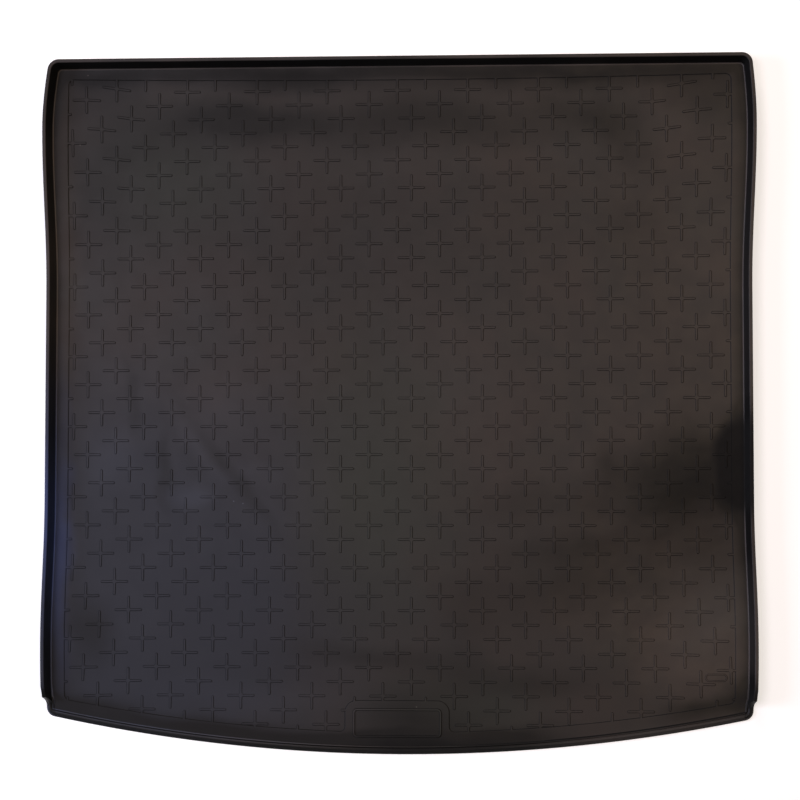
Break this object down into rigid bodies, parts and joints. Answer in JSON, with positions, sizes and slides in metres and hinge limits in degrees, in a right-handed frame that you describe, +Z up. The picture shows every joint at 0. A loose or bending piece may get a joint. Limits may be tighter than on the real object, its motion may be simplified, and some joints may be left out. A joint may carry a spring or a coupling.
{
  "type": "rubber car mat",
  "caption": "Black moulded rubber mat for a car's luggage bay: a shallow tray with raised side and rear walls, a low beaded tailgate lip and a floor of cross-shaped ribs.",
  "frame": {"origin": "centre of the flat underside", "axes": "+Z up out of the floor, -Y towards the tailgate edge, +X to the right as seen from the tailgate"},
  "size_m": [1.0054, 0.98, 0.03],
  "materials": {
    "black_rubber": "moulded, soft sheen"
  },
  "bodies": {
    "root": {"cargo_mat": "black_rubber"}
  },
  "joints": []
}
